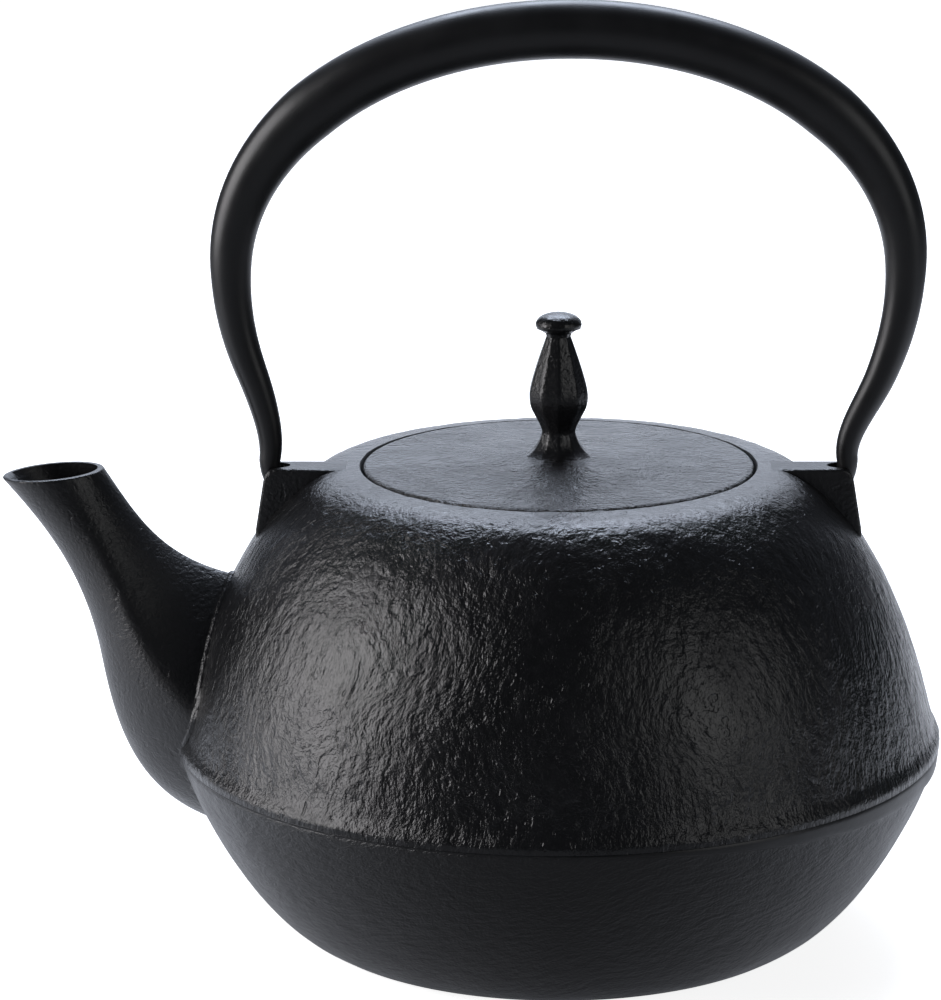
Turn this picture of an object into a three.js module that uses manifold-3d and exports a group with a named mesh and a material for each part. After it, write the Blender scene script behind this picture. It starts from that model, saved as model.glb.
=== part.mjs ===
// Cast-iron teapot with a spout, an upright bail handle, a knobbed lid and a stainless infuser basket.
// Millimetres, +Z up. The origin is the centre of the flat underside, on the pot's axis; the spout
// points along -X and the bail stands in the XZ plane.
import * as THREE from "three";
import { mergeVertices } from "three/addons/utils/BufferGeometryUtils.js";
import Module from "manifold-3d";

const wasm = await Module();
wasm.setup();

// ---- Driving dimensions ----
const GAP = 0.3; // clearance between pieces that touch
const SEAM = 0.1; // hairline between two regions of the casting
const WALL = 3.1; // iron wall of the pot

// Pot: radii and heights down the outer profile
const TOP_Z = 113.75; // flush plane of the lid's edge and the seat's top
const SHOULDER = [56, 112.7]; // [radius, height] where the flat seat turns into the shoulder
const WALL_FOOT = [89.9, 54.8]; // lowest point of the textured upper shell, above its flare
const HIP = [92.5, 47.6]; // widest point of the ridge
const RIDGE_EDGE = [92.3, 45.9]; // crisp lower edge of the ridge
const BASE_R = 58.4; // flat underside

// Mouth and seat
const WELL_R = 47.3; // wall of the recess that takes the lid
const LEDGE_Z = 108.9; // the basket's flange rests here
const MOUTH_R = 43;
const LEDGE_THICK = 3.3;
const JOINT_Z = 45.9; // level of the mould's joint, between bowl and shell

// Spout
const SPOUT_TIP = [-133.3, 110.5]; // outer lip, [x, height]
const SPOUT_BACK = [-109.1, 112.5]; // inner lip
const SPOUT_ROOT_HALF = 25; // half-width at the root
const SPOUT_LIP_HALF = 10; // half-width at the lip
const SPOUT_WALL_ROOT = 3.2;
const SPOUT_WALL_LIP = 1.3;
const SPOUT_STEPS = 14;
const SPOUT_BORE_EXIT = new THREE.Vector3(-1.35, 0, 2.7); // the bore's cutter runs on past the lip

// Lugs
const LUG_TOP = 113.1;
const LUG_DEPTH = 9; // front to back
const LUG_CORNER_X = 70.6; // outer edge just under the rounded corner
const LUG_CORNER_R = 3.6;
const LUG_HEIGHT = 15; // of the outer edge, down to the shell
const LUG_SPLAY = 1.9; // how far that edge runs outwards on its way down
const LUG_ROOT_X = 50; // the lug is fused into the shoulder from here outwards
const LUG_TURNS = [0, Math.PI]; // one on each side, in the bail's plane
const LUG_EDGE = 0.7; // rounding of the lug's long edges
const SOCKET_WIDTH = 6; // front to back
const SOCKET_LEVELS = [
  // [height, x of the middle, half-length]: an oval that leans outwards and opens at the corner
  [103.6, 66.2, 3],
  [107.2, 66.9, 3.2],
  [109.5, 67.8, 3.6],
  [116, 68.8, 4.6],
];

// Bail
const BAIL_SPRING_Z = 160.9; // the crown is half an ellipse above this height
const BAIL_HALF = 79.8;
const BAIL_RISE = 56.6;
const BAIL_SQUARENESS = 2.05; // exponent of the crown's superellipse, 2 for a plain ellipse
const BAIL_CROWN_THICK = 13.9;
const BAIL_GRIP_SHARE = 0.55; // this share of each quarter of the crown keeps the full thickness
const BAIL_SPRING_THICK = 9.75;
const BAIL_LEG_THICK = 5.1;
const BAIL_FOOT_THICK = 3.5;
const BAIL_LEG_TAPER = 0.85; // exponent of the leg's taper, 1 for an even one
const BAIL_LEG_Z = 114.3; // bottom of the leg, where the foot begins
const BAIL_LEG_X = 69.1;
const BAIL_DEPTH_RATIO = 0.94; // front-to-back depth of the section over its thickness
const BAIL_SET = 2; // the legs bend this far towards +X just above the lugs
const BAIL_SET_RISE = 22; // over this height
const BAIL_LEAN = 0.012; // and the bow above goes on leaning by this slope

// Lid
const LID_R = 46.75;
const LID_EDGE_THICK = 3.4;
const MOUND_R = 29;
const LID_CROWN_Z = 115.9; // top of the mound under the knob
const SKIRT_R = 39.4;
const SKIRT_THICK = 2;
const SKIRT_DEPTH = 2.5;

// Knob
const KNOB_FACETS = 10;
const KNOB_TURN = -16.5; // degrees from the front (-Y) to the nearest facet edge
const TANG_R = 2;
const TANG_END_Z = 109.4;
const WASHER_R = 5.2;
const WASHER_THICK = 1;

// Infuser basket
const BASKET_R = 41.3; // outside of the woven wall
const MESH_THICK = 0.6;
const SHEET = 0.8; // steel sheet of the rim and the floor cup
const BASKET_FLOOR_Z = 66;
const COLLAR_DEPTH = 7;

const POT_SEGMENTS = 64;
const SMALL_SEGMENTS = 48; // everything else that is round
const TANG_SEGMENTS = 24;
const RING_SIDES = 20;
const BAIL_SIDES = 12;

// ---- Materials ----
const steelFinish = { color: 0xb9bcc0, roughness: 0.32, metalness: 1 };
const iron = new THREE.MeshStandardMaterial({ color: 0x1b1b1d, roughness: 0.55, metalness: 0.6 });
const ironSmooth = new THREE.MeshStandardMaterial({ color: 0x1e1e20, roughness: 0.38, metalness: 0.6 });
const steel = new THREE.MeshStandardMaterial(steelFinish);

// ---- Solids ----
function solid(geometry) {
  const plain = geometry.clone();
  plain.deleteAttribute("normal");
  plain.deleteAttribute("uv");
  const merged = mergeVertices(plain, 1e-4);
  const vertProperties = new Float32Array(merged.attributes.position.array);
  const triVerts = new Uint32Array(merged.index.array);
  return new wasm.Manifold(new wasm.Mesh({ numProp: 3, vertProperties, triVerts }));
}

function namedMesh(name, shape, material) {
  const data = shape.getMesh();
  const positions = new THREE.BufferAttribute(new Float32Array(data.vertProperties), 3);
  const geometry = new THREE.BufferGeometry();
  geometry.setAttribute("position", positions);
  geometry.setIndex(new THREE.BufferAttribute(new Uint32Array(data.triVerts), 1));
  geometry.computeVertexNormals();
  const mesh = new THREE.Mesh(geometry, material);
  mesh.name = name;
  return mesh;
}

// A solid of revolution about Z from [radius, height] points that run anticlockwise with the
// radius to the right: up the outside, or out along the bottom first.
function turned(points, segments = SMALL_SEGMENTS, phase = 0) {
  const outline = points.map(([r, z]) => new THREE.Vector2(r, z));
  const geometry = new THREE.LatheGeometry(outline, segments, phase);
  geometry.rotateX(Math.PI / 2);
  return solid(geometry);
}

// A ring with a closed section.
function turnedRing(section) {
  return turned([...section, section[0]]);
}

// A closed skin over a row of rings that have the same number of points, each running
// anticlockwise when seen from the end of the row.
function lofted(rings) {
  const count = rings[0].length;
  const vertices = rings.flat();
  const faces = [];
  for (let i = 0; i + 1 < rings.length; i++) {
    for (let k = 0; k < count; k++) {
      const a = i * count + k;
      const b = i * count + ((k + 1) % count);
      faces.push(a, b, b + count, a, b + count, a + count);
    }
  }
  const last = (rings.length - 1) * count;
  for (const [start, flip] of [[0, true], [last, false]]) {
    const centre = new THREE.Vector3();
    for (let k = 0; k < count; k++) centre.add(vertices[start + k]);
    vertices.push(centre.divideScalar(count));
    for (let k = 0; k < count; k++) {
      const a = start + k;
      const b = start + ((k + 1) % count);
      faces.push(...(flip ? [b, a, vertices.length - 1] : [a, b, vertices.length - 1]));
    }
  }
  const geometry = new THREE.BufferGeometry().setFromPoints(vertices);
  geometry.setIndex(faces);
  return solid(geometry);
}

// ---- Curves ----
function cubic(...points) {
  return new THREE.CubicBezierCurve(...points.map(([x, y]) => new THREE.Vector2(x, y)));
}

function curvePoints(curve, steps) {
  return curve.getPoints(steps).map((p) => [p.x, p.y]);
}

function ease(t) {
  const s = Math.min(1, Math.max(0, t));
  return s * s * (3 - 2 * s);
}

const mix = (a, b, t) => a + (b - a) * t;

// ---- Pot: one iron casting, held as four regions: bowl, shell with lugs, lid ledge and spout ----
const bowlCurve = cubic([BASE_R, 0], [70.6, 0], [87.4, 28], RIDGE_EDGE);
const wallCurve = cubic(WALL_FOOT, [84.4, 77.6], [74.3, 101.6], SHOULDER);
const innerBowlCurve = cubic([BASE_R - 4, WALL], [70, WALL], [83.4, 28], [HIP[0] - WALL, HIP[1]]);
const innerWallCurve = cubic(
  [WALL_FOOT[0] - WALL, WALL_FOOT[1]],
  [80.7, 77],
  [71.5, 99],
  [55, LEDGE_Z - 0.6],
);

function outerProfile() {
  return [
    [0, 0],
    ...curvePoints(bowlCurve, 10),
    HIP,
    [HIP[0] - 0.5, HIP[1] + 3.1],
    [WALL_FOOT[0] + 1.3, WALL_FOOT[1] - 1.9],
    ...curvePoints(wallCurve, 9),
    [WELL_R + 0.6, TOP_Z],
    [0, TOP_Z],
  ];
}

function cavityProfile() {
  const lip = LEDGE_Z - LEDGE_THICK;
  return [
    [0, WALL],
    ...curvePoints(innerBowlCurve, 7),
    ...curvePoints(innerWallCurve, 6),
    [MOUTH_R + 3, lip],
    [MOUTH_R, lip],
    [MOUTH_R, LEDGE_Z],
    [WELL_R, LEDGE_Z],
    [WELL_R, TOP_Z - 0.5],
    [WELL_R + 0.6, TOP_Z + 1],
    [0, TOP_Z + 1],
  ];
}

// ---- Spout: every ring spans from the keel (the outer side) to the back, across the flow ----
const keelCurve = new THREE.CurvePath();
keelCurve.add(cubic([-82, 24], [-103, 30.5], [-107.6, 48], [-110.6, 66]));
keelCurve.add(cubic([-110.6, 66], [-113.9, 86], [-122.4, 97.8], SPOUT_TIP));
const backCurve = new THREE.CurvePath();
backCurve.add(cubic([-70, 78], [-73, 82], [-76, 84.8], [-80, 86.6]));
backCurve.add(cubic([-80, 86.6], [-96.5, 91.2], [-101.5, 101], SPOUT_BACK));

// The section is a lens with rounded ends whose sides have a soft ridge at mid-width; towards the
// lip it opens into an oval.
function spoutRing(t, inset) {
  const keel = keelCurve.getPoint(t);
  const back = backCurve.getPoint(t);
  const chord = back.clone().sub(keel);
  const middle = keel.clone().add(back).multiplyScalar(0.5);
  const halfChord = chord.length() / 2 - inset;
  chord.normalize();
  const halfWidth = mix(SPOUT_ROOT_HALF, SPOUT_LIP_HALF, ease(t ** 0.8)) - inset;
  const lens = mix(1.35, 2, t);
  const roundness = mix(0.6, 0.5, t);
  const ring = [];
  for (let k = 0; k < RING_SIDES; k++) {
    const angle = (2 * Math.PI * k) / RING_SIDES;
    const along = -Math.cos(angle);
    const across = Math.sign(Math.sin(angle)) * (1 - Math.abs(along) ** lens) ** roundness;
    const side = Math.abs(Math.sin(angle)) < 1e-9 ? 0 : -across * halfWidth;
    const x = middle.x + chord.x * along * halfChord;
    const z = middle.y + chord.y * along * halfChord;
    ring.push(new THREE.Vector3(x, side, z));
  }
  return ring;
}

function spoutRings(inset) {
  const rings = [];
  for (let i = 0; i <= SPOUT_STEPS; i++) {
    const t = i / SPOUT_STEPS;
    rings.push(spoutRing(t, inset(t)));
  }
  return rings;
}

function spoutBore() {
  const rings = spoutRings((t) => mix(SPOUT_WALL_ROOT, SPOUT_WALL_LIP, ease(t)));
  rings.push(rings[SPOUT_STEPS].map((p) => p.clone().add(SPOUT_BORE_EXIT)));
  return lofted(rings);
}

// ---- Lugs ----
// A block drawn in the XZ plane on the +X side and turned about Z; its inner part is in the shell.
function lugSolid(turn) {
  const outline = new THREE.Shape();
  const top = LUG_TOP - LUG_EDGE;
  const side = LUG_CORNER_X - LUG_EDGE;
  const low = LUG_TOP - LUG_HEIGHT;
  outline.moveTo(LUG_ROOT_X + 4, top - 8);
  outline.lineTo(side + LUG_SPLAY, low - 6);
  outline.lineTo(side + LUG_SPLAY, low);
  outline.lineTo(side, top - LUG_CORNER_R);
  outline.quadraticCurveTo(side - 0.5, top, side - LUG_CORNER_R, top);
  outline.lineTo(LUG_ROOT_X, top);
  outline.closePath();
  const geometry = new THREE.ExtrudeGeometry(outline, {
    depth: LUG_DEPTH - 2 * LUG_EDGE,
    bevelThickness: LUG_EDGE,
    bevelSize: LUG_EDGE,
    bevelSegments: 2,
    curveSegments: 5,
  });
  geometry.translate(0, 0, LUG_EDGE - LUG_DEPTH / 2);
  geometry.rotateX(Math.PI / 2);
  geometry.rotateZ(turn);
  return solid(geometry);
}

function socketSolid(turn) {
  const upright = new THREE.Vector3(0, 0, 1);
  const rings = SOCKET_LEVELS.map(([z, x, halfLength]) => {
    const ring = [];
    for (let k = 0; k < RING_SIDES; k++) {
      const angle = (2 * Math.PI * k) / RING_SIDES;
      const y = Math.sin(angle) * (SOCKET_WIDTH / 2);
      const spot = new THREE.Vector3(x + Math.cos(angle) * halfLength, y, z);
      ring.push(spot.applyAxisAngle(upright, turn));
    }
    return ring;
  });
  return lofted(rings);
}

const wholeOutline = outerProfile();
const grownOutline = wholeOutline.map(([r, z]) => [r ? r + SEAM : 0, z ? z : -SEAM]);

// The bowl, shell and ledge together, hollow, with the spout's mouth cut through the wall
function hollowBody() {
  let body = turned(wholeOutline, POT_SEGMENTS);
  for (const turn of LUG_TURNS) body = body.add(lugSolid(turn));
  body = body.subtract(turned(cavityProfile(), POT_SEGMENTS)).subtract(spoutBore());
  for (const turn of LUG_TURNS) body = body.subtract(socketSolid(turn));
  return body;
}

function disc(radius, low, high) {
  return turned([[0, low], [radius, low], [radius, high], [0, high]], POT_SEGMENTS);
}

function castingRegions() {
  const body = hollowBody();
  const half = SEAM / 2;
  const reach = HIP[0] + 10;
  const low = LEDGE_Z - LEDGE_THICK - 1;
  const bowlBlock = disc(reach, -1, JOINT_Z - half);
  const shellBlock = disc(reach, JOINT_Z + half, TOP_Z + 1).subtract(disc(WELL_R, low, LEDGE_Z + 1));
  const ledgeBlock = disc(WELL_R - SEAM, low, LEDGE_Z + 1);
  const spout = lofted(spoutRings(() => 0)).subtract(turned(grownOutline, POT_SEGMENTS));
  return [
    namedMesh("pot_bowl", body.intersect(bowlBlock), iron),
    namedMesh("pot_shell", body.intersect(shellBlock), iron),
    namedMesh("lid_ledge", body.intersect(ledgeBlock), iron),
    namedMesh("pot_spout", spout.subtract(spoutBore()), iron),
  ];
}

// ---- Bail ----
const bailLegCurve = cubic(
  [BAIL_HALF, BAIL_SPRING_Z],
  [BAIL_HALF, 136.4],
  [BAIL_LEG_X - 1.8, 125.6],
  [BAIL_LEG_X, BAIL_LEG_Z],
);
const bailFootCurve = cubic([BAIL_LEG_X, BAIL_LEG_Z], [69.2, 110.5], [67.8, 108.2], [66.3, 105.4]);

// [half-width, height, thickness] down one side, from the apex to the foot
function bailSide() {
  const stations = [];
  const crownSteps = 9;
  for (let i = 0; i < crownSteps; i++) {
    const share = i / crownSteps;
    const across = BAIL_HALF * Math.sin((Math.PI / 2) * share) ** (2 / BAIL_SQUARENESS);
    const rise = BAIL_RISE * Math.cos((Math.PI / 2) * share) ** (2 / BAIL_SQUARENESS);
    const taper = Math.max(0, (share - BAIL_GRIP_SHARE) / (1 - BAIL_GRIP_SHARE));
    const thick = mix(BAIL_CROWN_THICK, BAIL_SPRING_THICK, taper);
    stations.push([across, BAIL_SPRING_Z + rise, thick]);
  }
  const legSteps = 8;
  for (let i = 0; i < legSteps; i++) {
    const p = bailLegCurve.getPoint(i / legSteps);
    const taper = (i / legSteps) ** BAIL_LEG_TAPER;
    stations.push([p.x, p.y, mix(BAIL_SPRING_THICK, BAIL_LEG_THICK, taper)]);
  }
  const footSteps = 3;
  for (let i = 0; i <= footSteps; i++) {
    const p = bailFootCurve.getPoint(i / footSteps);
    stations.push([p.x, p.y, mix(BAIL_LEG_THICK, BAIL_FOOT_THICK, i / footSteps)]);
  }
  return stations;
}

function bailHandle() {
  const side = bailSide();
  const left = side.map(([x, z, thick]) => [-x, z, thick]).reverse();
  const stations = [...left, ...side.slice(1)];
  const centre = stations.map(([x, z]) => {
    const set = BAIL_SET * ease((z - BAIL_LEG_Z) / BAIL_SET_RISE);
    const lean = BAIL_LEAN * Math.max(0, z - BAIL_LEG_Z - BAIL_SET_RISE);
    return new THREE.Vector3(x + set + lean, 0, z);
  });
  const rings = centre.map((point, i) => {
    const before = centre[Math.max(0, i - 1)];
    const after = centre[Math.min(centre.length - 1, i + 1)];
    const forward = after.clone().sub(before).normalize();
    const outward = new THREE.Vector3(-forward.z, 0, forward.x);
    const half = stations[i][2] / 2;
    const ring = [];
    for (let k = 0; k < BAIL_SIDES; k++) {
      const angle = (2 * Math.PI * k) / BAIL_SIDES;
      const spot = point.clone().addScaledVector(outward, half * Math.cos(angle));
      spot.y = -half * BAIL_DEPTH_RATIO * Math.sin(angle);
      ring.push(spot);
    }
    return ring;
  });
  return namedMesh("bail_handle", lofted(rings), ironSmooth);
}

// ---- Lid, knob and washer ----
function lid() {
  const under = TOP_Z - LID_EDGE_THICK;
  const plate = turned([
    [0, under + 1.8],
    [WASHER_R + 2, under + 1.8],
    [SKIRT_R - SKIRT_THICK, under + 0.8],
    [SKIRT_R - SKIRT_THICK, under - SKIRT_DEPTH],
    [SKIRT_R, under - SKIRT_DEPTH],
    [SKIRT_R, under],
    [LID_R, under],
    [LID_R, TOP_Z - 0.4],
    [LID_R - 0.5, TOP_Z],
    [MOUND_R + 8, TOP_Z + 0.4],
    [MOUND_R, TOP_Z + 0.7],
    [MOUND_R - 6, TOP_Z + 1.3],
    [12, LID_CROWN_Z - 0.2],
    [8, LID_CROWN_Z],
    [0, LID_CROWN_Z],
  ]);
  const holeR = TANG_R + GAP;
  const holeLow = under - 1;
  const holeHigh = LID_CROWN_Z + 1;
  const outline = [[0, holeLow], [holeR, holeLow], [holeR, holeHigh], [0, holeHigh]];
  const hole = turned(outline, TANG_SEGMENTS);
  return namedMesh("lid", plate.subtract(hole), iron);
}

function lidKnob() {
  const phase = (KNOB_TURN * Math.PI) / 180;
  const foot = LID_CROWN_Z + GAP;
  const body = turned(
    [
      [0, foot],
      [6.6, foot],
      [7, foot + 0.9],
      [5.3, foot + 2.7],
      [4.1, foot + 5.2],
      [4.2, foot + 6.6],
      [5.5, foot + 9.3],
      [7.1, foot + 12.2],
      [7.45, foot + 13.8],
      [7.1, foot + 15.2],
      [5.35, foot + 22],
      [2.95, 144.6],
      [3.2, 145.4],
      [5.4, 146.6],
      [5.75, 147.6],
      [4.7, 149.1],
      [2.6, 150],
      [0, 150.4],
    ],
    KNOB_FACETS,
    phase,
  );
  const tang = turned(
    [
      [0, TANG_END_Z],
      [2.2, TANG_END_Z + 0.1],
      [3.3, TANG_END_Z + 0.8],
      [3.3, TANG_END_Z + 1.1],
      [TANG_R, TANG_END_Z + 1.1],
      [TANG_R, foot + 1],
      [0, foot + 1],
    ],
    TANG_SEGMENTS,
  );
  return namedMesh("lid_knob", body.add(tang), ironSmooth);
}

function knobWasher() {
  const inner = TANG_R + GAP;
  const low = TANG_END_Z + 1.1 + GAP;
  const high = low + WASHER_THICK;
  const section = [[inner, low], [WASHER_R, low], [WASHER_R, high], [inner, high]];
  return namedMesh("knob_washer", turnedRing(section), steel);
}

// ---- Infuser basket ----
function strainerRim() {
  const low = LEDGE_Z + GAP;
  const collar = BASKET_R + GAP;
  const shape = turnedRing([
    [collar, low - COLLAR_DEPTH],
    [collar + SHEET, low - COLLAR_DEPTH],
    [collar + SHEET, low],
    [WELL_R - 0.6, low],
    [WELL_R - 0.6, low + SHEET],
    [collar, low + SHEET],
  ]);
  return namedMesh("strainer_rim", shape, steel);
}

function strainerMesh() {
  const top = LEDGE_Z - 3;
  const bottom = BASKET_FLOOR_Z + SHEET + GAP;
  const inner = BASKET_R - MESH_THICK;
  const section = [[inner, bottom], [BASKET_R, bottom], [BASKET_R, top], [inner, top]];
  return namedMesh("strainer_mesh", turnedRing(section), steel);
}

function strainerFloor() {
  const inner = BASKET_R + GAP;
  const outer = inner + SHEET;
  const shape = turned([
    [0, BASKET_FLOOR_Z],
    [outer - 0.6, BASKET_FLOOR_Z],
    [outer, BASKET_FLOOR_Z + 0.6],
    [outer, BASKET_FLOOR_Z + 5],
    [inner, BASKET_FLOOR_Z + 5],
    [inner, BASKET_FLOOR_Z + SHEET],
    [0, BASKET_FLOOR_Z + SHEET],
  ]);
  return namedMesh("strainer_floor", shape, steel);
}

// ---- Assembly ----
const teapot = new THREE.Group();
const strainer = new THREE.Group();
strainer.add(strainerRim(), strainerMesh(), strainerFloor());
const lidGroup = new THREE.Group();
lidGroup.add(lid(), lidKnob(), knobWasher());
teapot.add(...castingRegions(), bailHandle(), strainer, lidGroup);

export default teapot;
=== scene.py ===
"""The looks of the cast-iron teapot: the pot's casting, bail, lid, knob and infuser basket.

Lengths are written in millimetres and turned into Blender's metres by MM. The pot's axis is Z, the
spout points along -X and the front is -Y, as in the CAD model.
"""
import math

import bmesh
import bpy
import numpy as np
from mathutils import Matrix, Vector, noise


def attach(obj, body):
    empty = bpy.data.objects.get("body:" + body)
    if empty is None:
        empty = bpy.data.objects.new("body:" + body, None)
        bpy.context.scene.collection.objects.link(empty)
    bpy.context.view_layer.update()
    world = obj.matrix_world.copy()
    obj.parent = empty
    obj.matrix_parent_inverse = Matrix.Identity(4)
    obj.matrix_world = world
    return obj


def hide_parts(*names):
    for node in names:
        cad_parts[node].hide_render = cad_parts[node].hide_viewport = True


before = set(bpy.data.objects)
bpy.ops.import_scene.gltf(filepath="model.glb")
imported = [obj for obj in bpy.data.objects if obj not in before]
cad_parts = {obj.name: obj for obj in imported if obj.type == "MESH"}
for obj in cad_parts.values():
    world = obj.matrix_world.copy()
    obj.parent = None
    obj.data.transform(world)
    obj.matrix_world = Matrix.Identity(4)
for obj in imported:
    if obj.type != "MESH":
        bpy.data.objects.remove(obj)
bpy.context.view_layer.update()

MM = 0.001

# ---- The camera ----
CAMERA_DISTANCE = 925.35
CAMERA_ELEVATION = 13.945  # degrees above the horizon
CAMERA_TARGET_Z = 104.47  # a point on the pot's axis
CAMERA_FOCAL = 138.83  # on a 36 mm wide sensor along the picture's long side
CAMERA_SHIFT = -0.0881  # the pot's axis stands right of the middle of the picture

# ---- Sizes of the casting, as in the CAD model ----
POT_NODES = ("pot_bowl", "pot_shell", "lid_ledge", "pot_spout")
WALL = 3.1
TOP_Z = 113.75
SHOULDER = (56.0, 112.7)
WALL_FOOT = (89.9, 54.8)
HIP = (92.5, 47.6)
RIDGE_EDGE = (92.3, 45.9)
BASE_R = 58.4
WELL_R = 47.3
LEDGE_Z = 108.9
LEDGE_THICK = 3.3
MOUTH_R = 43.0
POT_SEGMENTS = 576
CAVITY_SEGMENTS = 160

# The mould's joint: the skin of the upper half ends in a lip, and a dressed band runs below it
LIP_Z = 46.5
GROOVE_Z = 46.25
GROOVE_DEPTH = 0.6
BAND_RECESS = 0.28
BAND_DEPTH = 4.4  # how far the band reaches down the bowl on the far side
BAND_FROM, BAND_TO = -5.0, 88.0  # the x at which it starts to widen and is widest

SPOUT_TIP = (-133.3, 110.5)
SPOUT_BACK = (-109.1, 112.5)
SPOUT_ROOT_HALF = 25.0
SPOUT_LIP_HALF = 10.0
SPOUT_WALL_ROOT = 3.2
SPOUT_WALL_LIP = 1.3
SPOUT_SIDES = 64
SPOUT_STEPS = 90
BORE_STEPS = 30
BEAD_LOW_R = 0.5
BEAD_SUNK = 0.55
BEAD_R = 1.45  # fillet along the crease between the spout and the shell

LUG_TOP = 113.1
LUG_DEPTH = 9.0
LUG_CORNER_X = 70.6
LUG_CORNER_R = 3.6
LUG_HEIGHT = 15.0
LUG_SPLAY = 1.9
LUG_ROOT_X = 50.0
LUG_EDGE = 0.7
SOCKET_WIDTH = 6.0
SOCKET_LEVELS = ((103.6, 66.2, 3.0), (107.2, 66.9, 3.2), (109.5, 67.8, 3.6), (116.0, 68.8, 4.6))

BAIL_SPRING_Z = 160.9
BAIL_HALF = 79.8
BAIL_RISE = 56.6
BAIL_SQUARENESS = 2.05
BAIL_CROWN_THICK = 13.9
BAIL_GRIP_SHARE = 0.55
BAIL_SPRING_THICK = 9.75
BAIL_LEG_THICK = 5.1
BAIL_FOOT_THICK = 3.5
BAIL_LEG_TAPER = 0.85
BAIL_LEG = (69.1, 114.3)
BAIL_FOOT = (66.3, 105.4)
BAIL_STEPS = (40, 36, 8)  # stations along half the crown, a leg and a foot
BAIL_SIDES = 32
BAIL_DEPTH_RATIO = 0.94
BAIL_SET = 2.0
BAIL_SET_RISE = 22.0
BAIL_LEAN = 0.012

LID_R = 46.75
LID_EDGE_THICK = 3.4
MOUND_R = 29.0
LID_CROWN_Z = 115.9
SKIRT_R = 39.4
SKIRT_THICK = 2.0
SKIRT_DEPTH = 2.5
KNOB_FACETS = 10
KNOB_TURN = -16.5  # degrees from the front to the nearest facet edge
KNOB_NECK = (3.0, 144.6)  # radius and height just under the cap
KNOB_TOP_Z = 150.4
TANG_R = 2.0
TANG_END_Z = 109.4
WASHER_R = 5.2
WASHER_LOW, WASHER_HIGH = 110.8, 111.8

BASKET_R = 41.3
COLLAR_R = 41.6
SHEET = 0.8
FLANGE_R = 46.7
FLANGE_LOW = 109.2
COLLAR_DEPTH = 7.0
BASKET_FLOOR_Z = 66.0
CUP_DEPTH = 5.0
WIRE_R = 0.15
WEAVE_LOW, WEAVE_HIGH = 67.3, 105.7
UPRIGHTS = 260
HOOPS = 38


# ---- Small helpers ----
def mix(a, b, t):
    return a + (b - a) * t


def mix_points(a, b, t):
    return mix(a[0], b[0], t), mix(a[1], b[1], t)


def ease(t):
    s = min(1.0, max(0.0, t))
    return s * s * (3 - 2 * s)


def cubic(a, b, c, d, steps):
    """Points along a cubic Bezier curve, the last one left out."""
    points = []
    for i in range(steps):
        t = i / steps
        s = 1 - t
        weights = (s * s * s, 3 * s * s * t, 3 * s * t * t, t * t * t)
        points.append(tuple(sum(w * p[k] for w, p in zip(weights, (a, b, c, d))) for k in (0, 1)))
    return points


def straight(a, b, steps):
    return [(mix(a[0], b[0], i / steps), mix(a[1], b[1], i / steps)) for i in range(steps)]


def mesh_object(name, points, faces, smooth_angle=40):
    """A closed object from points in millimetres, its faces turned outwards."""
    mesh = bpy.data.meshes.new(name)
    mesh.from_pydata([(x * MM, y * MM, z * MM) for x, y, z in points], [], faces)
    bm = bmesh.new()
    bm.from_mesh(mesh)
    if bm.calc_volume(signed=True) < 0:
        bmesh.ops.reverse_faces(bm, faces=bm.faces)
    bm.to_mesh(mesh)
    bm.free()
    obj = bpy.data.objects.new(name, mesh)
    bpy.context.scene.collection.objects.link(obj)
    shade(obj, smooth_angle)
    return obj


def shade(obj, angle):
    """Smooth shading, with edges sharper than the angle kept."""
    obj.data.shade_smooth()
    obj.data.set_sharp_from_angle(angle=math.radians(angle))


def bridge(faces, low, high):
    """Adds the faces between two rings of points, either of which may be one point."""
    count = max(len(low), len(high))
    for k in range(count):
        n = (k + 1) % count
        if len(low) == 1:
            faces.append((low[0], high[n], high[k]))
        elif len(high) == 1:
            faces.append((low[k], low[n], high[0]))
        else:
            faces.append((low[k], low[n], high[n], high[k]))


def turned(name, outline, segments, relief=None, smooth_angle=40):
    """A solid of revolution about Z; relief(point, outward) moves its points outwards."""
    closed = outline[0] == outline[-1]
    rows = outline[:-1] if closed else outline
    points, rings = [], []
    for index, (r, z) in enumerate(rows):
        if r < 1e-6:
            rings.append([len(points)])
            points.append((0.0, 0.0, z))
            continue
        before = rows[index - 1] if index or closed else rows[index]
        after = rows[(index + 1) % len(rows)] if index + 1 < len(rows) or closed else rows[index]
        along = Vector((after[0] - before[0], after[1] - before[1])).normalized()
        rings.append(range(len(points), len(points) + segments))
        for k in range(segments):
            turn = 2 * math.pi * k / segments
            spot = Vector((r * math.sin(turn), -r * math.cos(turn), z))
            if relief:
                out = Vector((along.y * math.sin(turn), -along.y * math.cos(turn), -along.x))
                spot += out * relief(spot, out)
            points.append(tuple(spot))
    faces = []
    for index in range(len(rings) if closed else len(rings) - 1):
        bridge(faces, rings[index], rings[(index + 1) % len(rings)])
    return mesh_object(name, points, faces, smooth_angle)


def lofted(name, rings, smooth_angle=40, wrap=False):
    """A closed skin over rings of equal count; wrap joins the last ring to the first."""
    count = len(rings[0])
    points = [tuple(p) for ring in rings for p in ring]
    faces = []
    for i in range(len(rings) if wrap else len(rings) - 1):
        j = (i + 1) % len(rings)
        for k in range(count):
            n = (k + 1) % count
            faces.append((i * count + k, i * count + n, j * count + n, j * count + k))
    if not wrap:
        faces.append(tuple(reversed(range(count))))
        faces.append(tuple(range(len(points) - count, len(points))))
    return mesh_object(name, points, faces, smooth_angle)


def combine(target, other, operation):
    """Joins or cuts target with other, and removes other."""
    modifier = target.modifiers.new(operation, "BOOLEAN")
    modifier.operation = operation
    modifier.solver = "MANIFOLD"
    modifier.material_mode = "INDEX"
    modifier.object = other
    apply_modifiers(target)
    bpy.data.objects.remove(other)


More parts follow.
